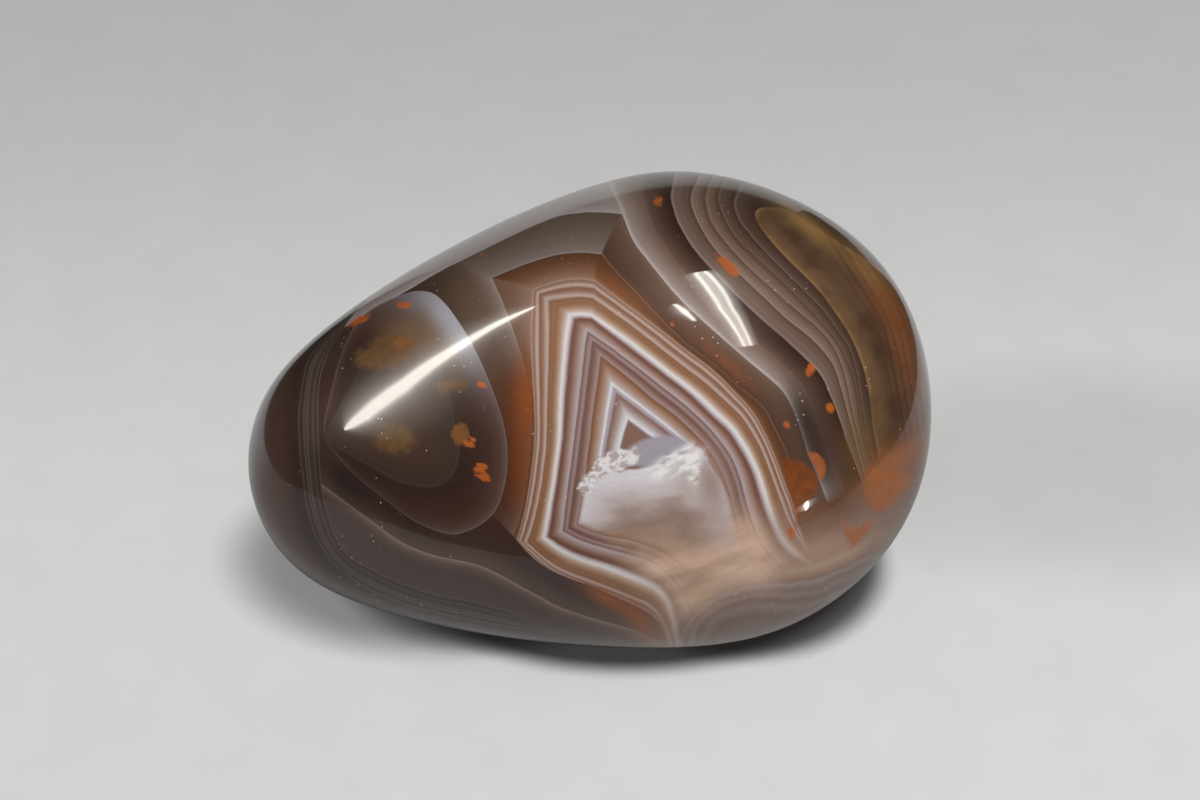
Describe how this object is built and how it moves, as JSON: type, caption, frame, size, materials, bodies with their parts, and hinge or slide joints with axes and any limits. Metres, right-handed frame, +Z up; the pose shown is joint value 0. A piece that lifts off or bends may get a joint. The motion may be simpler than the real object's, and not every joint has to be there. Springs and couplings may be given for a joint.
{
  "type": "polished agate",
  "caption": "Polished banded agate, one egg-shaped natural stone that rests on a small flat spot under its middle.",
  "frame": {"origin": "centre of the bottom of the bounding box, on the surface that the stone rests on", "axes": "+X along the stone's length, from the narrow end to the broad end; +Y away from the banded face; +Z up"},
  "size_m": [0.0556, 0.0446, 0.0326],
  "materials": {
    "polished_agate": "glass-like polish over brown, grey and white bands, with orange and rust patches"
  },
  "bodies": {
    "root": {"agate": "polished_agate"}
  },
  "joints": []
}
